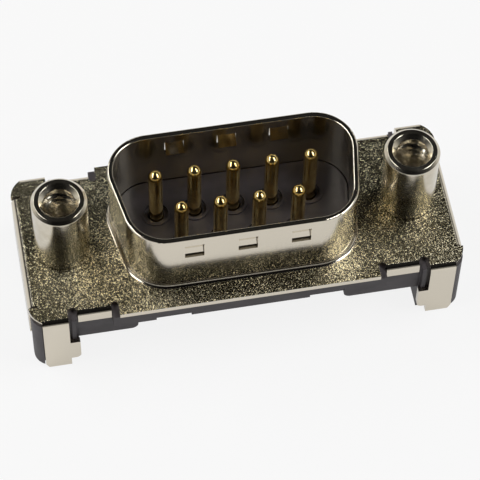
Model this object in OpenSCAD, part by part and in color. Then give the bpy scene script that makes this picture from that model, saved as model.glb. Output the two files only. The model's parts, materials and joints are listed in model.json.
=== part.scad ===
// Nine-way D-subminiature plug for surface mounting, standing upright on a board.
// Millimetres, +Z up, long side along X, the five-contact row towards +Y.
// The origin lies on the board plane, under the middle of the shell.

/* [Shell sheet] */
// Thickness of the shell's sheet
sheet_t = 0.4; // [0.3:0.05:0.45]
// Length over the two folded ends
shell_len = 31.2; // [30.8:0.1:32]
// Depth over the front and back legs
shell_dep = 12.55; // [12.4:0.05:13]
// Height of the flange's top face above the board
flange_top = 5.85; // [5.6:0.05:6.6]
// Corner radius of the flange
corner_r = 1.7; // [1.5:0.1:1.8]
// Outer radius of every fold
fold_r = 0.5; // [0.5:0.05:0.6]

/* [Mating wall] */
// Inside length of the D at its wide side
d_len = 16.92; // [16.8:0.02:17.1]
// Inside depth of the D
d_dep = 8.36; // [8.3:0.02:8.5]
// Slope of the D's two ends
d_slope = 10; // [8:1:12]
// Inside corner radius of the D
d_corner_r = 2.6; // [2.2:0.1:2.8]
// Height of the wall above the flange
d_height = 5.8; // [5.6:0.05:6.4]
// Radius where the wall rises from the flange
d_root_r = 0.3; // [0.2:0.05:0.4]
// Radius of the wall's rim edges
d_rim_r = 0.12; // [0.05:0.01:0.14]

/* [Grounding springs] */
// Springs on each long wall
spring_n = 3; // [1:1:3]
// Distance from one spring to the next
spring_pitch = 3.76; // [3:0.02:3.9]
// Width of a spring
spring_w = 1.3; // [1:0.05:1.4]
// Slit beside a spring
spring_slit = 0.03; // [0.02:0.01:0.15]
// Height of a spring's root above the flange
spring_root = 5; // [4.8:0.05:5.1]
// Height of a spring's free end above the flange
spring_tip = 3.65; // [3.6:0.05:3.9]
// Height of the window's lower edge above the flange
window_sill = 3.55; // [3.2:0.05:3.55]
// How far a spring is pressed into the D
spring_in = 0.45; // [0.3:0.05:0.5]
// How far its free end turns back outwards
spring_back = 0.18; // [0.1:0.02:0.25]

/* [Strip, tabs and legs] */
// Distance of a leg's outer edge from the shell's end
leg_end = 0.8; // [0.7:0.05:0.9]
// Notch between the edge strip and a tab
notch_w = 0.54; // [0.45:0.01:0.6]
// Width of a tab
tab_w = 2.38; // [2:0.02:2.4]
// How far a tab's face stands behind the edge strip
tab_set = 0.5; // [0.45:0.05:0.6]
// Drop of a tab below the flange's top face
tab_drop = 1; // [0.9:0.05:1.1]
// Slot between a tab and a leg
slot_w = 0.71; // [0.6:0.01:0.8]
// Width of a leg
leg_w = 1.85; // [1.7:0.05:1.9]
// Depth of the notches and slots in the flange
notch_dep = 1.15; // [1.1:0.05:1.2]
// Drop of a foot's upper edge below the flange's top face
foot_drop = 2.9; // [2.6:0.05:3]
// Height of a foot's lower edge above the board
foot_rise = 0.85; // [0.7:0.05:1]
// Corner radius of a foot
foot_r = 0.4; // [0.2:0.05:0.5]
// Chamfer on a leg's outer lower corner
leg_chamfer = 0.22; // [0.1:0.02:0.4]

/* [End lips] */
// Width of an end lip
lip_w = 9.1; // [8.6:0.1:9.3]
// Drop of an end lip below the flange's top face
lip_drop = 4.5; // [3.5:0.1:5]
// Corner radius of an end lip
lip_r = 1.5; // [0.5:0.1:2]
// Relief cut at each end of a lip's fold
relief_w = 0.16; // [0.12:0.01:0.3]

/* [Contacts] */
// Distance from contact to contact in a row
pitch = 2.77; // [2.74:0.01:2.8]
// Distance between the two rows
row_gap = 2.84; // [2.8:0.01:2.9]
// Contacts in the long row
long_row = 5; // [4:1:5]
// Diameter of a mating pin
pin_d = 1.02; // [0.98:0.01:1.04]
// Height of a pin's tip above the flange
pin_up = 5.5; // [5.2:0.05:5.7]
// Diameter of the tapered shank at the retaining collar
shank_d = 1.1; // [1.06:0.01:1.3]
// How far above the insulator's rings that taper ends
shank_up = 0.03; // [0.02:0.01:0.1]
// Diameter of the retaining collar
collar_d = 1.7; // [1.5:0.05:1.8]
// Thickness of the retaining collar
collar_t = 0.6; // [0.4:0.05:0.7]
// Diameter of the rear shank
rear_d = 0.9; // [0.8:0.02:0.96]
// Width of a soldering tail
tail_w = 0.6; // [0.5:0.05:0.7]
// Thickness of a soldering tail
tail_t = 0.3; // [0.2:0.02:0.35]
// Outer radius of a tail's bend
tail_r = 0.6; // [0.5:0.05:0.8]
// Distance of a tail's toe from the middle plane
tail_toe = 3.4; // [3.2:0.05:3.5]

/* [Insulator] */
// Height of the insulator's face above the flange
face_up = 0.3; // [0.2:0.05:0.4]
// How far the insulator's rear collar reaches past the D
ins_reach = 1.1; // [1:0.05:1.2]
// Thickness of that collar
ins_collar_t = 1; // [0.9:0.05:1.05]
// Diameter of the raised ring round a contact
ring_d = 2.1; // [2:0.05:2.2]
// Height of that ring
ring_h = 0.1; // [0.05:0.01:0.15]
// Diameter of the well inside the ring
well_d = 1.7; // [1.6:0.05:1.8]
// Depth of the well below the ring
well_dep = 0.28; // [0.2:0.02:0.3]

/* [Housing] */
// Height of the front strip below the sheet
band_h = 1.1; // [1:0.05:1.2]
// How far the front strip stands behind the sheet's cut edge
band_set = 0.06; // [0.04:0.01:0.1]
// Drop of the end blocks below the flange's top face
block_drop = 3; // [2.95:0.05:3.1]
// How far the left blocks reach inwards past the tabs
reach_left = 1.86; // [1.5:0.01:2.1]
// How far the right blocks reach inwards past the tabs
reach_right = 3.01; // [2.7:0.01:3.3]
// Corner radius under a block
block_r = 0.5; // [0.3:0.05:0.8]
// Depth of the middle carrier from front to back
carrier_dep = 6.4; // [5.8:0.1:6.8]
// Height of the posts' feet above the board
post_rise = 0.25; // [0.1:0.05:0.4]
// Depth of a corner post from front to back
post_dep = 2.3; // [2:0.1:2.6]
// Corner radius of a post
post_r = 1.15; // [0.8:0.05:1.3]
// Width of the rib that stands in a slot
rib_w = 0.3; // [0.2:0.02:0.36]
// Nearer edge of the relief under the front strip, from the middle
relief_in = 4.25; // [4:0.05:4.6]
// Length of that relief
relief_len = 2.5; // [2:0.1:2.6]
// Depth of that relief
relief_dep = 0.15; // [0.08:0.01:0.2]
// Height of that relief
relief_h = 0.45; // [0.3:0.05:0.6]

/* [Standoffs] */
// Distance from a standoff's axis to the shell's end
stand_end = 3.105; // [3:0.005:3.2]
// Diameter of a standoff
stand_d = 3.94; // [3.6:0.02:4.2]
// Height of a standoff above the flange
stand_h = 6; // [5.6:0.05:6.2]
// Chamfer on the standoff's upper edge
stand_chamfer = 0.22; // [0.1:0.02:0.3]
// Chamfer on its lower edge
stand_foot = 0.12; // [0.08:0.01:0.2]
// Diameter of the shank through flange and housing
stand_shank_d = 3; // [2.9:0.05:3.1]
// Diameter of the tapped bore
bore_d = 2.26; // [2.1:0.01:2.4]
// Diameter of the countersink
sink_d = 2.86; // [2.7:0.02:3]
// Depth of the countersink
sink_dep = 0.3; // [0.2:0.02:0.4]
// Diameter of the rolled rivet head under the housing
head_d = 3.9; // [3.7:0.05:4.1]
// Thickness of that head
head_t = 0.35; // [0.3:0.05:0.45]

/* [Fits] */
// Running clearance between neighbouring pieces
fit = 0.05; // [0.02:0.01:0.06]

/* [Hidden] */
$fn = 48;

half_len = shell_len / 2;
stand_x = half_len - stand_end;       // 24.99 mm from screw to screw, as the interface has it
front = shell_dep / 2;
sheet_under = flange_top - sheet_t;
cut = 1;                              // overshoot of a cutting tool

// edge features, as distances from the middle
leg_out = half_len - leg_end;
leg_in = leg_out - leg_w;
tab_out = leg_in - slot_w;
tab_in = tab_out - tab_w;
strip_half = tab_in - notch_w;

// corner centres of the D
wide_x = d_len / 2 - d_corner_r;
d_cy = d_dep / 2 - d_corner_r;
narrow_x = round(1000 * (wide_x - 2 * d_cy * tan(d_slope))) / 1000;
side_slope = atan((wide_x - narrow_x) / (2 * d_cy));
side_len = 2 * d_cy / cos(side_slope);
d_bite = 0.0005;                      // sides set in, so that they cut the corner arcs cleanly
root_out = sheet_t + d_root_r;        // where the root meets the flat flange
fold_lap = 0.3;                       // flat stretch that a fold shares with the flange
root_lap = 0.1;                       // how far the flange reaches under the wall's root
root_dip = 0.005;                     // how far the root's fillet dips into the flange
window_w = spring_w + 2 * spring_slit;
spring_knee = 0.3 * spring_root + 0.7 * spring_tip;

// levels inside the assembly
block_z = flange_top - block_drop;
floor_z = sheet_under - fit - ins_collar_t;
face_z = flange_top + face_up;
nose_z = flange_top + pin_up - pin_d / 2;
tab_face = front - tab_set;
block_front = tab_face - sheet_t - fit;
block_face = tab_face - fit;
end_face = half_len - sheet_t - fit;
post_in = tab_out + fit;
post_out = half_len - 2 * fit;
leg_back = front - sheet_t - fit;
post_back = leg_back - post_dep;

contact_at = concat(
    [for (i = [0:long_row - 1]) [(i - (long_row - 1) / 2) * pitch, row_gap / 2]],
    [for (i = [0:long_row - 2]) [(i - (long_row - 2) / 2) * pitch, -row_gap / 2]]);

METAL = [0.77, 0.74, 0.67];
GOLD = [0.86, 0.69, 0.30];
FACE_PLASTIC = [0.17, 0.16, 0.15];
BODY_PLASTIC = [0.33, 0.30, 0.31];

// ---------------------------------------------------------------- shared shapes

// repeats its children in all four quarters
module quarters() {
    for (sx = [0, 1])
        for (sy = [0, 1])
            mirror([sx, 0, 0]) mirror([0, sy, 0]) children();
}

// repeats its children at the left and the right end
module both_ends() {
    for (sx = [0, 1])
        mirror([sx, 0, 0]) children();
}

// rectangle with round corners, centred
module round_rect(len, dep, r) {
    square([len, dep - 2 * r], center = true);
    square([len - 2 * r, dep], center = true);
    quarters() translate([len / 2 - r, dep / 2 - r]) circle(r);
}

// the D's outline, grown outwards by grow from the wall's inner face
module d_outline(grow) {
    r = d_corner_r + grow;
    nx = (r - d_bite) * cos(side_slope);
    ny = (r - d_bite) * sin(side_slope);
    polygon([[-wide_x, d_cy + r], [wide_x, d_cy + r],
             [wide_x + nx, d_cy - ny], [narrow_x + nx, -d_cy - ny],
             [narrow_x, -d_cy - r], [-narrow_x, -d_cy - r],
             [-narrow_x - nx, -d_cy - ny], [-wide_x - nx, d_cy - ny]]);
    for (s = [-1, 1]) {
        translate([s * wide_x, d_cy]) circle(r);
        translate([s * narrow_x, -d_cy]) circle(r);
    }
}

// straight run of a wall section, outwards at angle out, starting from point p
module d_run(p, out, len) {
    translate(p) rotate(out) rotate([90, 0, 0])
        linear_extrude(len) translate([d_corner_r, 0]) children();
}

// corner of a wall section round point p, over turn degrees
module d_turn(p, start, turn) {
    translate(p) rotate(start)
        rotate_extrude(angle = turn) translate([d_corner_r, 0]) children();
}

// sweeps a section round the D: x is the distance outside the inner face, y the height
module d_sweep() {
    d_run([narrow_x, -d_cy], -90, 2 * narrow_x) children();
    d_run([-wide_x, d_cy], 90, 2 * wide_x) children();
    both_ends() {
        d_run([wide_x, d_cy], -side_slope, side_len) children();
        d_turn([narrow_x, -d_cy], -90, 90 - side_slope) children();
        mirror([1, 0, 0]) d_turn([-wide_x, d_cy], 90, 90 + side_slope) children();
    }
}

// folded strip, side view: the outer face at x = 0, the top face at y = 0
module fold_section(drop) {
    translate([-fold_r - fold_lap, -sheet_t]) square([fold_lap, sheet_t]);
    translate([-fold_r, -fold_r]) intersection() {
        difference() {
            circle(fold_r);
            circle(fold_r - sheet_t);
        }
        square(fold_r);
    }
    translate([-sheet_t, -drop]) square([sheet_t, drop - fold_r]);
}

// ------------------------------------------------------------------------ shell

// the drawn wall's section, from the flange's root to the rim
module wall_section() {
    top = flange_top + d_height;
    under_r = root_out - 2 * root_dip;
    translate([0, flange_top + d_root_r]) square([sheet_t, d_height - d_root_r - d_rim_r]);
    translate([d_rim_r, top - 2 * d_rim_r]) square([sheet_t - 2 * d_rim_r, 2 * d_rim_r]);
    for (x = [d_rim_r, sheet_t - d_rim_r])
        translate([x, top - d_rim_r]) circle(d_rim_r);
    difference() {
        translate([0, sheet_under + 2 * root_dip]) square([root_out, root_out]);
        translate([root_out, flange_top + d_root_r - root_dip]) circle(d_root_r);
        translate([sheet_t, flange_top + d_root_r - root_dip]) square(root_out);
        difference() {
            translate([-cut, sheet_under - cut]) square([under_r + cut, root_out + cut]);
            translate([under_r, flange_top + d_root_r]) circle(under_r);
        }
    }
}

// the openings that the springs are lanced from, in both long walls
module spring_windows() {
    for (i = [0:spring_n - 1])
        translate([(i - (spring_n - 1) / 2) * spring_pitch - window_w / 2,
                   -front, flange_top + window_sill])
            cube([window_w, shell_dep, spring_root - window_sill]);
}

// a spring's side view: x is the distance outside the wall's inner face
module spring_section() {
    path = [[0, spring_root + d_rim_r], [0, spring_root],
            [spring_in, spring_knee], [spring_in - spring_back, spring_tip]];
    polygon(concat(
        [for (p = path) [sheet_t - p[0], flange_top + p[1]]],
        [for (i = [len(path) - 1:-1:0]) [-path[i][0], flange_top + path[i][1]]]));
}

// the springs of both long walls
module springs() {
    for (side = [-1, 1])
        for (i = [0:spring_n - 1])
            translate([(i - (spring_n - 1) / 2) * spring_pitch, side * d_dep / 2, 0])
                rotate(side * 90) rotate([90, 0, 0])
                    linear_extrude(spring_w, center = true) spring_section();
}

// a cut from the flange's long edge inwards, with a round inner end
module edge_notch(x, w) {
    translate([x, front - notch_dep + w / 2]) square([w, notch_dep + cut]);
    translate([x + w / 2, front - notch_dep + w / 2]) circle(w / 2);
}

// the flat flange: everything inside the lines where the folds begin
module flange_outline() {
    difference() {
        round_rect(shell_len, shell_dep, corner_r);
        d_outline(root_out - root_lap);
        quarters() {
            edge_notch(strip_half, notch_w);
            edge_notch(tab_out, slot_w);
            translate([tab_in, tab_face - fold_r]) square([tab_w, tab_set + fold_r + cut]);
            translate([leg_in, front - fold_r]) square([leg_w, fold_r + cut]);
            translate([half_len - fold_r, 0]) square([fold_r + cut, lip_w / 2]);
            translate([half_len - fold_r - relief_w, lip_w / 2])
                square([fold_r + relief_w + cut, relief_w]);
        }
        both_ends() translate([stand_x, 0]) circle(d = stand_shank_d + 2 * fit);
    }
}

// a leg with its foot, seen from the front: y is the height above the board
module leg_outline() {
    difference() {
        union() {
            translate([leg_in, 0]) square([leg_w, flange_top]);
            translate([tab_out + foot_r, foot_rise])
                square([slot_w, flange_top - foot_drop - foot_rise]);
            translate([tab_out, foot_rise + foot_r])
                square([foot_r, flange_top - foot_drop - foot_rise - foot_r]);
            translate([tab_out + foot_r, foot_rise + foot_r]) circle(foot_r);
        }
        translate([leg_out - leg_chamfer, -cut])
            polygon([[0, 0], [0, cut], [leg_chamfer, cut + 2 * leg_chamfer],
                     [2 * leg_chamfer, cut + 2 * leg_chamfer], [2 * leg_chamfer, 0]]);
    }
}

// one leg, folded down at the front edge
module leg() {
    intersection() {
        translate([tab_out - cut, front, flange_top]) rotate([90, 0, 90])
            linear_extrude(slot_w + leg_w + 2 * cut) fold_section(flange_top);
        translate([0, front + cut, 0]) rotate([90, 0, 0])
            linear_extrude(front) leg_outline();
    }
}

// one short tab, folded down behind the line of the edge strip
module tab() {
    translate([tab_in, tab_face, flange_top]) rotate([90, 0, 90])
        linear_extrude(tab_w) fold_section(tab_drop);
}

// an end lip, seen from the end: y is the height above the board
module lip_outline() {
    base = flange_top - lip_drop;
    translate([-lip_w / 2, base + lip_r]) square([lip_w, lip_drop - lip_r]);
    translate([-lip_w / 2 + lip_r, base]) square([lip_w - 2 * lip_r, lip_drop]);
    for (s = [-1, 1])
        translate([s * (lip_w / 2 - lip_r), base + lip_r]) circle(lip_r);
}

// one end lip
module lip() {
    intersection() {
        translate([half_len, lip_w / 2, flange_top]) rotate([90, 0, 0])
            linear_extrude(lip_w) fold_section(lip_drop);
        translate([half_len + cut, 0, 0]) rotate([90, 0, -90])
            linear_extrude(half_len) lip_outline();
    }
}

// drawn and folded shell, one sheet
module shell() {
    color(METAL) {
        translate([0, 0, sheet_under]) linear_extrude(sheet_t) flange_outline();
        difference() {
            d_sweep() wall_section();
            spring_windows();
        }
        springs();
        quarters() {
            leg();
            tab();
        }
        both_ends() lip();
    }
}

// -------------------------------------------------------------------- insulator

// front insulator, held by its collar between the shell and the housing
module insulator() {
    color(FACE_PLASTIC) difference() {
        union() {
            translate([0, 0, floor_z]) linear_extrude(face_z - floor_z) d_outline(-fit);
            translate([0, 0, floor_z]) linear_extrude(ins_collar_t) d_outline(ins_reach);
            for (p = contact_at)
                translate([p[0], p[1], face_z - ring_h]) cylinder(d = ring_d, h = 2 * ring_h);
        }
        for (p = contact_at)
            translate([p[0], p[1], 0]) {
                translate([0, 0, face_z + ring_h - well_dep]) cylinder(d = well_d, h = cut);
                translate([0, 0, floor_z - cut])
                    cylinder(d = shank_d + 2 * fit, h = face_z - floor_z + 2 * cut);
                translate([0, 0, floor_z - cut])
                    cylinder(d = collar_d + 2 * fit, h = collar_t + fit + cut);
            }
    }
}

// ---------------------------------------------------------------------- housing

// the end blocks' section seen from the front: y is the height above the board
module block_section(inner, outer) {
    translate([inner, block_z + block_r]) square([outer - inner, sheet_under - block_z - block_r]);
    translate([inner + block_r, block_z]) square([outer - inner - block_r, sheet_under - block_z]);
    translate([inner + block_r, block_z + block_r]) circle(block_r);
}

// one end's pair of blocks, full depth, cut back where the tabs fold over it
module end_block(inner) {
    difference() {
        translate([0, block_face, 0]) rotate([90, 0, 0])
            linear_extrude(2 * block_face) block_section(inner, end_face);
        for (s = [0, 1])
            mirror([0, s, 0])
                translate([inner - cut, block_front, flange_top - tab_drop - fit])
                    cube([half_len, front, tab_drop + cut]);
    }
}

// plan of one corner post: behind the leg, and round the flange's corner beside it
module post_plan() {
    translate([post_in, post_back]) square([end_face - post_in, post_dep]);
    difference() {
        union() {
            translate([leg_out + fit, lip_w / 2 + relief_w])
                square([post_out - leg_out - fit, front - fit - post_r - lip_w / 2 - relief_w]);
            translate([post_out - post_r, front - fit - post_r]) circle(post_r);
            translate([leg_out - post_r, front - fit - post_r])
                square([post_out - leg_out, post_r]);
        }
        translate([leg_out + fit - half_len, post_back - cut]) square([half_len, shell_dep]);
        translate([post_out - post_r, front - fit - post_r]) difference() {
            square(2 * post_r);
            circle(post_r);
        }
    }
}

// one corner post with the rib that stands in the slot beside the leg
module post() {
    translate([0, 0, post_rise]) linear_extrude(sheet_under - post_rise) post_plan();
    translate([(tab_out + leg_in - rib_w) / 2, leg_back - cut, flange_top - foot_drop + fit])
        cube([rib_w, cut + sheet_t / 2, foot_drop - sheet_t - fit]);
}

// shallow relief along the lower edge of the front strip
module strip_relief() {
    translate([relief_in, front - band_set - relief_dep, sheet_under - band_h - cut])
        cube([relief_len, relief_dep + cut, cut + relief_h]);
}

// moulded housing: strip, carrier, end blocks and corner posts
module housing() {
    band_len = 2 * (tab_in - fit);
    band_dep = 2 * (front - band_set);
    color(BODY_PLASTIC) difference() {
        union() {
            translate([-band_len / 2, -band_dep / 2, sheet_under - band_h])
                cube([band_len, band_dep, band_h]);
            translate([-end_face, -carrier_dep / 2, block_z])
                cube([2 * end_face, carrier_dep, sheet_under - block_z]);
            end_block(tab_in - reach_right);
            mirror([1, 0, 0]) end_block(tab_in - reach_left);
            quarters() post();
        }
        translate([0, 0, floor_z]) linear_extrude(flange_top) d_outline(ins_reach + fit);
        quarters() strip_relief();
        for (p = contact_at)
            translate([p[0], p[1], 0]) cylinder(d = rear_d + 2 * fit, h = flange_top);
        both_ends() translate([stand_x, 0, 0])
            cylinder(d = stand_shank_d + 2 * fit, h = flange_top);
    }
}

// --------------------------------------------------------------------- contacts

// bent soldering tail seen from the side: x outwards from the pin's axis, y the height
module tail_section(reach) {
    translate([-tail_t / 2, tail_r]) square([tail_t, block_z + fit - tail_r]);
    translate([tail_r - tail_t / 2, tail_r]) intersection() {
        difference() {
            circle(tail_r);
            circle(tail_r - tail_t);
        }
        translate([-tail_r, -tail_r]) square(tail_r);
    }
    translate([tail_r - tail_t / 2, 0]) square([reach - tail_r + tail_t / 2, tail_t]);
}

// half section of the turned part: rear shank, collar, tapered shank and pin
module contact_section() {
    polygon([[0, block_z - fit], [rear_d / 2, block_z - fit], [rear_d / 2, floor_z],
             [collar_d / 2, floor_z], [collar_d / 2, floor_z + collar_t],
             [shank_d / 2, floor_z + collar_t], [pin_d / 2, face_z + ring_h + shank_up],
             [pin_d / 2, nose_z], [0, nose_z]]);
}

// contact: the turned part with its round nose, then the flattened tail
module contact(number) {
    at = contact_at[number - 1];
    side = sign(at[1]);
    color(GOLD) translate([at[0], at[1], 0]) {
        translate([0, 0, nose_z]) sphere(d = pin_d);
        rotate_extrude() contact_section();
        rotate(side * 90) rotate([90, 0, 0])
            linear_extrude(tail_w, center = true) tail_section(tail_toe - abs(at[1]));
    }
}

// -------------------------------------------------------------------- standoffs

// half section of a standoff: x from its axis, y the height above the board
module standoff_section() {
    top = flange_top + stand_h;
    r = stand_d / 2;
    polygon([[bore_d / 2, block_z - head_t], [stand_shank_d / 2, block_z - head_t],
             [head_d / 2, block_z - head_t / 3], [head_d / 2, block_z],
             [stand_shank_d / 2, block_z], [stand_shank_d / 2, flange_top],
             [r - stand_foot, flange_top], [r, flange_top + stand_foot],
             [r, top - stand_chamfer], [r - stand_chamfer, top],
             [sink_d / 2, top], [bore_d / 2, top - sink_dep]]);
}

// tapped standoff, riveted through the flange and the housing
module standoff(side) {
    color(METAL) translate([side * stand_x, 0, 0])
        rotate_extrude() standoff_section();
}

shell();
insulator();
housing();
contact(1);  // contact_1
contact(2);  // contact_2
contact(3);  // contact_3
contact(4);  // contact_4
contact(5);  // contact_5
contact(6);  // contact_6
contact(7);  // contact_7
contact(8);  // contact_8
contact(9);  // contact_9
standoff(-1);  // standoff_left
standoff(1);  // standoff_right
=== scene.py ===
"""Dresses the nine-way D-subminiature plug: plated shell, mouldings, gold contacts and threaded standoffs.

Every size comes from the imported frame, in metres, +Z up, with the board plane at z = 0.
"""

from __future__ import annotations

import json
import logging
import math
from dataclasses import dataclass, field
from enum import Enum

import bpy
from mathutils import Matrix, Vector

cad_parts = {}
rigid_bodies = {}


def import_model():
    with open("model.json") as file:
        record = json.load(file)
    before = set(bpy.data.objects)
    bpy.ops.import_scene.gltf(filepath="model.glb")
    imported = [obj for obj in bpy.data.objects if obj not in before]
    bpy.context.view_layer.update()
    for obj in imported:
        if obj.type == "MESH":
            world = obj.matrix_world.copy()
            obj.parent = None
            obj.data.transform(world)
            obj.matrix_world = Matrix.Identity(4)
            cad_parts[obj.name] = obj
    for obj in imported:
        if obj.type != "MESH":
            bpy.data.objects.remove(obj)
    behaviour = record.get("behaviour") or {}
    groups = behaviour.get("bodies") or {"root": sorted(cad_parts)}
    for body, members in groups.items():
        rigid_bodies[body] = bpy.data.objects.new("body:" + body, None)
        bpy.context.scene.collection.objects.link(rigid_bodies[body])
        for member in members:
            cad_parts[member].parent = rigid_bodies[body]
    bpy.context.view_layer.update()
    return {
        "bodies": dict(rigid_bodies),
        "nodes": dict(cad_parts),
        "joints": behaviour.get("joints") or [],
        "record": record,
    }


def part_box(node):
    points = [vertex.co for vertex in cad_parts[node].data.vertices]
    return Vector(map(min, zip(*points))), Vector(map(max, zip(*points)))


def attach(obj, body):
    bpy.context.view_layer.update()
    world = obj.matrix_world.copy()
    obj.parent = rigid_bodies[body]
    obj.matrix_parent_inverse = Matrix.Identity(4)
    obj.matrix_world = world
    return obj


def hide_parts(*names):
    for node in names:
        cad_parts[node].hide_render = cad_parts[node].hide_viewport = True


log = logging.getLogger("d_sub_plug")

MM = 0.001
BODY = "root"
CONTACT_COUNT = 9
FLANGE_TOP = 5.85 * MM

Colour = tuple[float, float, float]
Point = tuple[float, float, float]


class Slot(Enum):
    """The record's material slots."""

    SHELL = "shell_sheet"
    STANDOFF = "standoff_metal"
    CONTACT = "contact_gold"
    INSULATOR = "insulator_plastic"
    HOUSING = "housing_plastic"


class Side(Enum):
    """The two ends of the connector, along X."""

    LEFT = "left"
    RIGHT = "right"


# ------------------------------------------------------------------ shader building


class Graph:
    """A material's node tree, with short calls for the nodes that the finishes use."""

    def __init__(self, name: str) -> None:
        """Starts an empty material.

        Args:
            name: The material's name.
        """
        self.material = bpy.data.materials.new(name)
        self.material.use_nodes = True
        self.tree = self.material.node_tree
        self.tree.nodes.clear()
        self.output = self.tree.nodes.new("ShaderNodeOutputMaterial")
        self.place = self.tree.nodes.new("ShaderNodeTexCoord")

    def node(self, kind: str, **values: object) -> bpy.types.Node:
        """Adds one node and sets attributes on it.

        Args:
            kind: The node's type name.
            **values: Attributes to set.

        Returns:
            The new node.
        """
        made = self.tree.nodes.new(kind)
        for name, value in values.items():
            setattr(made, name, value)
        return made

    def feed(self, node: bpy.types.Node, name: str | int, value: object) -> None:
        """Links a socket to an input, or sets the input's own value.

        Args:
            node: The node that takes the value.
            name: The input's name or index.
            value: An output socket, or a plain value.
        """
        if isinstance(value, bpy.types.NodeSocket):
            self.tree.links.new(value, node.inputs[name])
        else:
            node.inputs[name].default_value = value

    def math(self, operation: str, *terms: object) -> bpy.types.NodeSocket:
        """One Math node.

        Args:
            operation: The operation, such as MULTIPLY.
            *terms: Its inputs, sockets or numbers.

        Returns:
            The result.
        """
        made = self.node("ShaderNodeMath", operation=operation)
        for index, term in enumerate(terms):
            self.feed(made, index, term)
        return made.outputs[0]

    def ramp(self, value: object, low: float, high: float) -> bpy.types.NodeSocket:
        """A smooth step from 0 at low to 1 at high.

        Args:
            value: The value that is mapped.
            low: Where the step starts.
            high: Where it ends.

        Returns:
            The step, from 0 to 1.
        """
        made = self.node("ShaderNodeMapRange", interpolation_type="SMOOTHSTEP")
        self.feed(made, "Value", value)
        self.feed(made, "From Min", low)
        self.feed(made, "From Max", high)
        return made.outputs["Result"]

    def axes(self, vector: bpy.types.NodeSocket) -> tuple[bpy.types.NodeSocket, ...]:
        """Splits a vector.

        Args:
            vector: The vector socket.

        Returns:
            Its x, y and z.
        """
        made = self.node("ShaderNodeSeparateXYZ")
        self.feed(made, 0, vector)
        return tuple(made.outputs)

    def stretched(self, scale: Point) -> bpy.types.NodeSocket:
        """Object coordinates, scaled along each axis.

        Args:
            scale: Repeats per metre along x, y and z.

        Returns:
            The scaled coordinates.
        """
        made = self.node("ShaderNodeMapping")
        self.feed(made, "Vector", self.place.outputs["Object"])
        self.feed(made, "Scale", scale)
        return made.outputs[0]

    def noise(self, scale: Point, detail: float, rough: float) -> bpy.types.NodeSocket:
        """Fractal noise in object coordinates.

        Args:
            scale: Repeats per metre along x, y and z.
            detail: Octaves.
            rough: How strong the finer octaves are.

        Returns:
            The noise, about 0 to 1.
        """
        made = self.node("ShaderNodeTexNoise")
        self.feed(made, "Vector", self.stretched(scale))
        self.feed(made, "Scale", 1.0)
        self.feed(made, "Detail", detail)
        self.feed(made, "Roughness", rough)
        return made.outputs[0]

    def cells(self, scale: Point) -> bpy.types.NodeSocket:
        """Voronoi cells in object coordinates.

        Args:
            scale: Repeats per metre along x, y and z.

        Returns:
            The distance from each cell's middle.
        """
        made = self.node("ShaderNodeTexVoronoi")
        self.feed(made, "Vector", self.stretched(scale))
        self.feed(made, "Scale", 1.0)
        return made.outputs["Distance"]

    def mix(self, factor: object, first: object, second: object) -> bpy.types.NodeSocket:
        """Mixes two colours.

        Args:
            factor: 0 gives the first, 1 the second.
            first: A colour or a socket.
            second: A colour or a socket.

        Returns:
            The mixed colour.
        """
        made = self.node("ShaderNodeMix", data_type="RGBA")
        self.feed(made, 0, factor)
        self.feed(made, 6, self.rgba(first))
        self.feed(made, 7, self.rgba(second))
        return made.outputs[2]

    def blend(self, factor: object, first: object, second: object) -> bpy.types.NodeSocket:
        """Mixes two numbers.

        Args:
            factor: 0 gives the first, 1 the second.
            first: A number or a socket.
            second: A number or a socket.

        Returns:
            The mixed number.
        """
        made = self.node("ShaderNodeMix", data_type="FLOAT")
        self.feed(made, 0, factor)
        self.feed(made, 2, first)
        self.feed(made, 3, second)
        return made.outputs[0]

    def bump(self, height: object, distance: float, strength: float = 1.0,
             under: bpy.types.NodeSocket | None = None) -> bpy.types.NodeSocket:
        """One Bump node.

        Args:
            height: The height, about 0 to 1.
            distance: The relief's depth in metres.
            strength: How much of it is applied.
            under: The normal that it is laid on.

        Returns:
            The new normal.
        """
        made = self.node("ShaderNodeBump")
        self.feed(made, "Strength", strength)
        self.feed(made, "Distance", distance)
        self.feed(made, "Height", height)
        if under is not None:
            self.feed(made, "Normal", under)
        return made.outputs[0]

    @staticmethod
    def rgba(colour: object) -> object:
        """Adds alpha to a plain colour and leaves a socket as it is."""
        return (*colour, 1.0) if isinstance(colour, tuple) and len(colour) == 3 else colour

    def surface(self, colour: object, metallic: float, roughness: object,
                normal: bpy.types.NodeSocket) -> None:
        """Adds the Principled shader and links it to the output.

        Args:
            colour: The base colour, plain or a socket.
            metallic: 1 for metal, 0 for plastic.
            roughness: A number or a socket.
            normal: The normal with the relief on it.
        """
        made = self.node("ShaderNodeBsdfPrincipled")
        self.feed(made, "Base Color", self.rgba(colour))
        self.feed(made, "Metallic", metallic)
        self.feed(made, "Roughness", roughness)
        self.feed(made, "Normal", normal)
        self.tree.links.new(made.outputs[0], self.output.inputs["Surface"])


# ------------------------------------------------------------------------- finishes


@dataclass(frozen=True)
class Relief:
    """One noise that a finish uses, with its repeats per metre along x, y and z."""

    scale: Point
    detail: float
    rough: float

    def on(self, g: Graph) -> bpy.types.NodeSocket:
        """Adds the noise to a node tree, and returns it."""
        return g.noise(self.scale, self.detail, self.rough)


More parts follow.
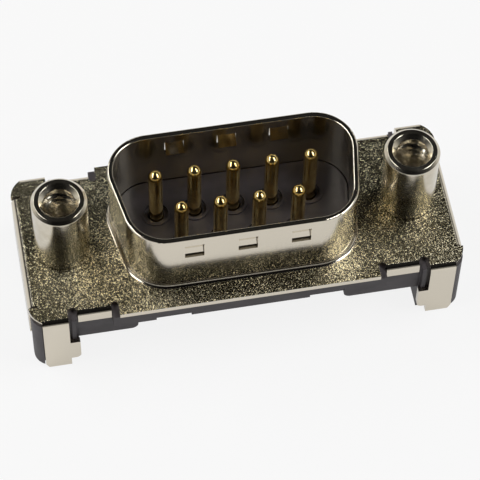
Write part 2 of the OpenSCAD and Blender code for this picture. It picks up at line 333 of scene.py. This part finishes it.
@dataclass(frozen=True)
class GrainedPlate:
    """Tin-plated sheet: crystalline grain relief on the flange's top face, with painted glints and painted
    shade specks in its colour there; drawn and smooth elsewhere.
    """

    # The light and dark colours below are painted glints and painted shade for the flange's specks:
    # reflections painted into the base colour.
    light: Colour = (0.72, 0.66, 0.47)
    painted_shade_colour: Colour = (0.10, 0.088, 0.055)
    smooth: Colour = (0.73, 0.67, 0.56)
    grain: float = 0.17 * MM
    finer: float = 1.7
    crystal_share: float = 0.6
    depth: float = 0.035 * MM
    grain_rough: float = 0.22
    rough_spread: float = 0.2
    smooth_rough: float = 0.14
    # The noise levels between which the specks turn from painted shade to painted glint.
    painted_glint_from: float = 0.45
    painted_glint_to: float = 0.62
    cloud_share: float = 0.25
    cloud: Relief = Relief((260.0, 260.0, 260.0), 2.0, 0.5)
    drawn: Relief = Relief((900.0, 900.0, 14000.0), 3.0, 0.6)
    drawn_depth: float = 0.002 * MM
    drawn_strength: float = 0.5
    flat_from: float = 0.93
    flat_to: float = 0.99
    near_from: float = 0.02 * MM
    near_to: float = 0.06 * MM

    def mask(self, g: Graph) -> bpy.types.NodeSocket:
        """Finds the flange's top face.

        Args:
            g: The material's node tree.

        Returns:
            1 on that face, 0 elsewhere.
        """
        normal_z = g.axes(g.place.outputs["Normal"])[2]
        height_z = g.axes(g.place.outputs["Object"])[2]
        flat = g.ramp(normal_z, self.flat_from, self.flat_to)
        away = g.math("ABSOLUTE", g.math("SUBTRACT", height_z, FLANGE_TOP))
        near = g.math("SUBTRACT", 1.0, g.ramp(away, self.near_from, self.near_to))
        return g.math("MULTIPLY", flat, near)

    def material(self) -> bpy.types.Material:
        """Builds the material, and returns it."""
        g = Graph("tin_plated_sheet")
        across = 1.0 / self.grain
        mask = self.mask(g)
        crystals = g.cells((across, across, across))
        fine = Relief((across * self.finer, across * self.finer, across * self.finer), 2.0, 0.6).on(g)
        relief = g.math("ADD", g.math("MULTIPLY", crystals, self.crystal_share), fine)
        grained = g.bump(g.math("MULTIPLY", relief, mask), self.depth)
        normal = g.bump(self.drawn.on(g), self.drawn_depth, self.drawn_strength, grained)
        # Painted reflection: noise specks mix the painted shade colour and the painted glint colour into the
        # flange's top face.
        painted_glint_share = g.ramp(g.math("ADD", g.math("MULTIPLY", fine, 1.0 - self.cloud_share),
                              g.math("MULTIPLY", self.cloud.on(g), self.cloud_share)),
                       self.painted_glint_from, self.painted_glint_to)
        tint = g.mix(mask, self.smooth, g.mix(painted_glint_share, self.painted_shade_colour, self.light))
        grain_rough = g.math("ADD", self.grain_rough - self.rough_spread / 2,
                             g.math("MULTIPLY", fine, self.rough_spread))
        g.surface(tint, 1.0, g.blend(mask, self.smooth_rough, grain_rough), normal)
        return g.material


@dataclass(frozen=True)
class Plating:
    """Plated turned metal: faint tool lines round the axis, and a second tone where it is worn."""

    name: str
    colour: Colour
    worn: Colour
    rough: float
    worn_from: float
    worn_to: float
    cloud: Relief
    lines: Relief
    line_depth: float
    line_strength: float
    rough_down: float
    rough_spread: float

    def material(self) -> bpy.types.Material:
        """Builds the material, and returns it."""
        g = Graph(self.name)
        cloud = self.cloud.on(g)
        tint = g.mix(g.ramp(cloud, self.worn_from, self.worn_to), self.worn, self.colour)
        rough = g.math("ADD", self.rough - self.rough_down, g.math("MULTIPLY", cloud, self.rough_spread))
        g.surface(tint, 1.0, rough, g.bump(self.lines.on(g), self.line_depth, self.line_strength))
        return g.material


@dataclass(frozen=True)
class Moulding:
    """Moulded plastic with a fine eroded texture and faint flow marks."""

    name: str
    colour: Colour
    pale: Colour
    rough: float
    texture: float = 0.07 * MM
    depth: float = 0.004 * MM
    flow: Relief = Relief((350.0, 500.0, 800.0), 3.0, 0.6)
    flow_from: float = 0.3
    flow_to: float = 0.75
    rough_spread: float = 0.16

    def material(self) -> bpy.types.Material:
        """Builds the material, and returns it."""
        g = Graph(self.name)
        fine = 1.0 / self.texture
        erosion = Relief((fine, fine, fine), 3.0, 0.6).on(g)
        tint = g.mix(g.ramp(self.flow.on(g), self.flow_from, self.flow_to), self.colour, self.pale)
        spread = g.math("MULTIPLY", erosion, self.rough_spread)
        rough = g.math("ADD", self.rough - self.rough_spread / 2, spread)
        g.surface(tint, 0.0, rough, g.bump(erosion, self.depth))
        return g.material


TIN = GrainedPlate()
NICKEL = Plating(
    "nickel_turned", colour=(0.76, 0.71, 0.60), worn=(0.66, 0.60, 0.48), rough=0.15,
    worn_from=0.35, worn_to=0.7,
    cloud=Relief((700.0, 700.0, 700.0), 3.0, 0.55), lines=Relief((120.0, 120.0, 1.0 / (0.09 * MM)), 2.0, 0.6),
    line_depth=0.003 * MM, line_strength=0.6, rough_down=0.06, rough_spread=0.16,
)
GOLD = Plating(
    "gold_plated", colour=(0.93, 0.72, 0.30), worn=(0.74, 0.50, 0.16), rough=0.16,
    worn_from=0.3, worn_to=0.6,
    cloud=Relief((1500.0, 1500.0, 1500.0), 3.0, 0.55), lines=Relief((500.0, 500.0, 22000.0), 2.0, 0.6),
    line_depth=0.0015 * MM, line_strength=0.5, rough_down=0.04, rough_spread=0.1,
)
FACE_PLASTIC = Moulding("insulator_black", (0.030, 0.026, 0.030), (0.055, 0.048, 0.054), 0.40)
BODY_PLASTIC = Moulding("housing_grey", (0.050, 0.042, 0.046), (0.080, 0.070, 0.075), 0.50)


# -------------------------------------------------------------------- sub-assemblies


@dataclass
class CadPiece:
    """A node of the frame whose shape stands, and which only takes a finish."""

    nodes: tuple[str, ...]
    slot: Slot
    finish: GrainedPlate | Plating | Moulding

    def dress(self, frame: dict) -> None:
        """Gives each node the finish.
        """
        material = self.finish.material()
        for name in self.nodes:
            node = frame["nodes"][name]
            if not node.material_slots:
                node.data.materials.append(material)
            for held in node.material_slots:
                held.material = material
            log.info("dressed %s with %s", name, material.name)


@dataclass
class Standoff:
    """A turned standoff whose bore carries a real 4-40 thread in place of the plain tap bore."""

    side: Side
    bore_r: float = 1.13 * MM
    major_r: float = 1.42 * MM
    pitch: float = 0.635 * MM
    sink_r: float = 1.43 * MM
    sink_depth: float = 0.30 * MM
    chamfer: float = 0.22 * MM
    foot: float = 0.12 * MM
    shank_r: float = 1.5 * MM
    head_r: float = 1.95 * MM
    head_t: float = 0.35 * MM
    head_cone: float = 2 / 3
    edge_r: float = 0.02 * MM
    edge_share: float = 0.4
    edge_hold: float = 0.03
    edge_steps: tuple[float, ...] = (0.0, 0.33, 0.67, 1.0)
    tooth_gain: float = 1.25
    tooth_root: float = 0.06
    around: int = 96
    per_pitch: int = 10
    sharp: float = math.radians(40)
    low: Vector = field(init=False)
    high: Vector = field(init=False)

    def __post_init__(self) -> None:
        """Reads the standoff's box from the frame."""
        self.low, self.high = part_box(self.node)

    @property
    def node(self) -> str:
        """The frame's node that this piece stands for."""
        return f"standoff_{self.side.value}"

    def profile(self) -> list[tuple[float, float]]:
        """The outer half section, from the rolled head's bore edge up to the countersink.

        Returns:
            Points (radius, height).
        """
        base, top = self.low.z, self.high.z
        body_r = (self.high.x - self.low.x) / 2
        block = base + self.head_t
        return self.eased([
            (self.bore_r, base), (self.shank_r, base), (self.head_r, base + self.head_t * self.head_cone),
            (self.head_r, block), (self.shank_r, block), (self.shank_r, FLANGE_TOP),
            (body_r - self.foot, FLANGE_TOP), (body_r, FLANGE_TOP + self.foot),
            (body_r, top - self.chamfer), (body_r - self.chamfer, top),
            (self.sink_r, top), (self.bore_r, top - self.sink_depth),
        ])

    def eased(self, corners: list[tuple[float, float]]) -> list[tuple[float, float]]:
        """Rounds the inner corners of an open outline, and holds the flats beside them flat.

        Args:
            corners: Points (radius, height).

        Returns:
            The outline with each corner but the two ends rounded.
        """
        points = [Vector(corner) for corner in corners]
        eased = [points[0]]
        for before, corner, after in zip(points, points[1:], points[2:]):
            back, ahead = before - corner, after - corner
            reach = min(self.edge_r, back.length * self.edge_share, ahead.length * self.edge_share)
            start, end = corner + back.normalized() * reach, corner + ahead.normalized() * reach
            eased.append(start.lerp(before, self.edge_hold))
            for step in self.edge_steps:
                eased.append(start.lerp(corner, step).lerp(corner.lerp(end, step), step))
            eased.append(end.lerp(after, self.edge_hold))
        eased.append(points[-1])
        return [(point.x, point.y) for point in eased]

    def thread(self, angle: float, depth: float) -> float:
        """The bore's radius at one place.

        Args:
            angle: The angle round the axis, in radians.
            depth: The distance below the countersink's foot.

        Returns:
            The radius there.
        """
        phase = (depth / self.pitch + angle / (2 * math.pi)) % 1.0
        tooth = min(1.0, max(0.0, self.tooth_gain * (1 - abs(2 * phase - 1)) - self.tooth_root))
        fade = min(1.0, max(0.0, depth / self.pitch))
        return self.bore_r + (self.major_r - self.bore_r) * tooth * fade

    def build(self) -> bpy.types.Object:
        """Builds the mesh: the turned outside, and the threaded wall inside.

        Returns:
            The piece.
        """
        centre = (self.low + self.high) / 2
        outer = self.profile()
        wall_top = outer[-1][1]
        wall_low = self.low.z
        rows = round((wall_top - wall_low) / self.pitch * self.per_pitch)
        turn = [2 * math.pi * k / self.around for k in range(self.around)]
        rings: list[list[tuple[float, float]]] = [[point] * self.around for point in outer]
        for row in range(1, rows):
            z = wall_top + (wall_low - wall_top) * row / rows
            end_fade = min(1.0, max(0.0, (z - wall_low) / self.pitch))
            ring = [self.bore_r + (self.thread(a, wall_top - z) - self.bore_r) * end_fade for a in turn]
            rings.append([(r, z) for r in ring])
        points = [
            (centre.x + r * math.cos(a), centre.y + r * math.sin(a), z)
            for ring in rings for a, (r, z) in zip(turn, ring)
        ]
        count = len(rings)
        faces = [
            (i * self.around + k, i * self.around + (k + 1) % self.around,
             (i + 1) % count * self.around + (k + 1) % self.around, (i + 1) % count * self.around + k)
            for i in range(count) for k in range(self.around)
        ]
        mesh = bpy.data.meshes.new(f"threaded_{self.node}")
        mesh.from_pydata(points, [], faces)
        mesh.validate()
        mesh.shade_smooth()
        mesh.set_sharp_from_angle(angle=self.sharp)
        piece = bpy.data.objects.new(f"threaded_{self.node}", mesh)
        bpy.context.scene.collection.objects.link(piece)
        return piece

    def dress(self, finish: Plating) -> None:
        """Builds the piece, gives it its finish and puts it in the node's place.

        Args:
            finish: The turned and plated finish.
        """
        piece = self.build()
        piece.data.materials.append(finish.material())
        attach(piece, BODY)
        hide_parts(self.node)
        log.info("built %s: %d faces", piece.name, len(piece.data.polygons))


# --------------------------------------------------------------------------- studio


@dataclass(frozen=True)
class Softbox:
    """One long area lamp: the directions of its two ends from the object, its width and its power."""

    name: str
    start: Point
    end: Point
    watts: float
    width: float = 0.10


@dataclass
class Studio:
    """Plain pale floor, soft light and the camera."""

    camera_at: Point = (-18.975 * MM, -93.842 * MM, 156.394 * MM)
    yaw: float = math.radians(-11.633)
    pitch: float = math.radians(57.970)
    roll: float = math.radians(1.654)
    lens: float = 187.03
    clip_near: float = 0.01
    clip_far: float = 10.0
    lamp_away: float = 0.5
    lamps: tuple[Softbox, ...] = (
        Softbox("left_box", (-0.71, -0.285, 0.64), (-0.32, 0.67, 0.66), 1.0),
        Softbox("right_box", (0.62, -0.49, 0.61), (0.40, 0.285, 0.87), 0.9),
    )
    horizon: float = 0.75
    zenith: float = 0.012
    glow_low: float = 0.12
    glow_high: float = 0.45
    front_share: float = 0.35
    front_from: float = -0.7
    front_to: float = 0.2
    surround: Colour = (1.0, 0.99, 0.96)
    floor_size: float = 3.0
    floor_drop: float = 0.02 * MM
    floor_grey: float = 0.80
    white: float = 1.0
    white_seen: float = 0.86
    white_mirrored: float = 0.55

    def camera(self) -> None:
        """Makes the scene's camera."""
        data = bpy.data.cameras.new("camera")
        data.lens = self.lens
        data.clip_start = self.clip_near
        data.clip_end = self.clip_far
        obj = bpy.data.objects.new("camera", data)
        level = Vector((math.cos(self.yaw), math.sin(self.yaw), 0.0))
        ahead = Vector((-math.sin(self.yaw) * math.cos(self.pitch),
                        math.cos(self.yaw) * math.cos(self.pitch), -math.sin(self.pitch)))
        right = level * math.cos(self.roll) + level.cross(ahead) * math.sin(self.roll)
        turn = Matrix((right, right.cross(ahead), -ahead)).transposed()
        obj.matrix_world = Matrix.Translation(self.camera_at) @ turn.to_4x4()
        bpy.context.scene.collection.objects.link(obj)
        bpy.context.scene.camera = obj

    def floor(self) -> None:
        """Makes the floor: white to the camera and to mirrors, with the object's soft shadow kept."""
        half = self.floor_size / 2
        mesh = bpy.data.meshes.new("floor")
        mesh.from_pydata([(-half, -half, 0), (half, -half, 0), (half, half, 0), (-half, half, 0)],
                         [], [(0, 1, 2, 3)])
        obj = bpy.data.objects.new("floor", mesh)
        obj.location.z = -self.floor_drop
        g = Graph("studio_floor")
        seen = g.node("ShaderNodeLightPath")
        diffuse = g.node("ShaderNodeBsdfDiffuse")
        g.feed(diffuse, "Color", g.rgba((self.floor_grey,) * 3))
        glow = g.node("ShaderNodeEmission")
        g.feed(glow, "Strength", self.white)
        direct = g.math("MAXIMUM", g.math("MULTIPLY", seen.outputs["Is Camera Ray"], self.white_seen),
                        g.math("MULTIPLY", seen.outputs["Is Glossy Ray"], self.white_mirrored))
        shader = g.node("ShaderNodeMixShader")
        g.feed(shader, 0, direct)
        g.tree.links.new(diffuse.outputs[0], shader.inputs[1])
        g.tree.links.new(glow.outputs[0], shader.inputs[2])
        g.tree.links.new(shader.outputs[0], g.output.inputs["Surface"])
        mesh.materials.append(g.material)
        bpy.context.scene.collection.objects.link(obj)

    def world(self) -> None:
        """Makes a dim surround that the camera sees as white."""
        world = bpy.data.worlds.new("surround")
        bpy.context.scene.world = world
        world.use_nodes = True
        tree = world.node_tree
        tree.nodes.clear()
        coord = tree.nodes.new("ShaderNodeTexCoord")
        split = tree.nodes.new("ShaderNodeSeparateXYZ")
        tree.links.new(coord.outputs["Generated"], split.inputs[0])
        fall = tree.nodes.new("ShaderNodeMapRange")
        fall.interpolation_type = "SMOOTHSTEP"
        tree.links.new(split.outputs[2], fall.inputs["Value"])
        around = tree.nodes.new("ShaderNodeMapRange")
        tree.links.new(split.outputs[1], around.inputs["Value"])
        for held, values in ((fall, (self.glow_low, self.glow_high, self.horizon, self.zenith)),
                             (around, (self.front_from, self.front_to, self.front_share, 1.0))):
            for name, value in zip(("From Min", "From Max", "To Min", "To Max"), values):
                held.inputs[name].default_value = value
        level = tree.nodes.new("ShaderNodeMath")
        level.operation = "MULTIPLY"
        tree.links.new(fall.outputs["Result"], level.inputs[0])
        tree.links.new(around.outputs["Result"], level.inputs[1])
        shade = tree.nodes.new("ShaderNodeBackground")
        tree.links.new(level.outputs[0], shade.inputs["Strength"])
        shade.inputs["Color"].default_value = Graph.rgba(self.surround)
        plain = tree.nodes.new("ShaderNodeBackground")
        plain.inputs["Color"].default_value = Graph.rgba((self.white,) * 3)
        seen = tree.nodes.new("ShaderNodeLightPath")
        chosen = tree.nodes.new("ShaderNodeMixShader")
        tree.links.new(seen.outputs["Is Camera Ray"], chosen.inputs[0])
        tree.links.new(shade.outputs[0], chosen.inputs[1])
        tree.links.new(plain.outputs[0], chosen.inputs[2])
        out = tree.nodes.new("ShaderNodeOutputWorld")
        tree.links.new(chosen.outputs[0], out.inputs[0])

    def hang(self, lamp: Softbox) -> None:
        """Hangs one area lamp between its two directions, turned to the object.

        Args:
            lamp: What the lamp is.
        """
        near = Vector(lamp.start).normalized() * self.lamp_away
        far = Vector(lamp.end).normalized() * self.lamp_away
        data = bpy.data.lights.new(lamp.name, "AREA")
        data.shape = "RECTANGLE"
        data.size = (far - near).length
        data.size_y = lamp.width
        data.energy = lamp.watts
        obj = bpy.data.objects.new(lamp.name, data)
        middle = (near + far) / 2
        along = (far - near).normalized()
        back = (middle - along * middle.dot(along)).normalized()
        turn = Matrix((along, back.cross(along), back)).transposed()
        obj.matrix_world = Matrix.Translation(middle) @ turn.to_4x4()
        bpy.context.scene.collection.objects.link(obj)

    def build(self) -> None:
        """Makes the camera, the floor, the surround and the lamps."""
        self.camera()
        self.floor()
        self.world()
        for lamp in self.lamps:
            self.hang(lamp)
        bpy.context.scene.view_settings.view_transform = "Standard"


# ----------------------------------------------------------------------------- main


def main() -> None:
    """Loads the frame, dresses every node and sets the stage."""
    logging.basicConfig(level=logging.INFO, format="%(name)s: %(message)s")
    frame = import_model()
    Studio().build()
    contacts = tuple(f"contact_{n}" for n in range(1, CONTACT_COUNT + 1))
    for piece in (
        CadPiece(("shell",), Slot.SHELL, TIN),
        CadPiece(("insulator",), Slot.INSULATOR, FACE_PLASTIC),
        CadPiece(("housing",), Slot.HOUSING, BODY_PLASTIC),
        CadPiece(contacts, Slot.CONTACT, GOLD),
    ):
        piece.dress(frame)
    for side in Side:
        Standoff(side).dress(NICKEL)


if __name__ == "__main__":
    main()
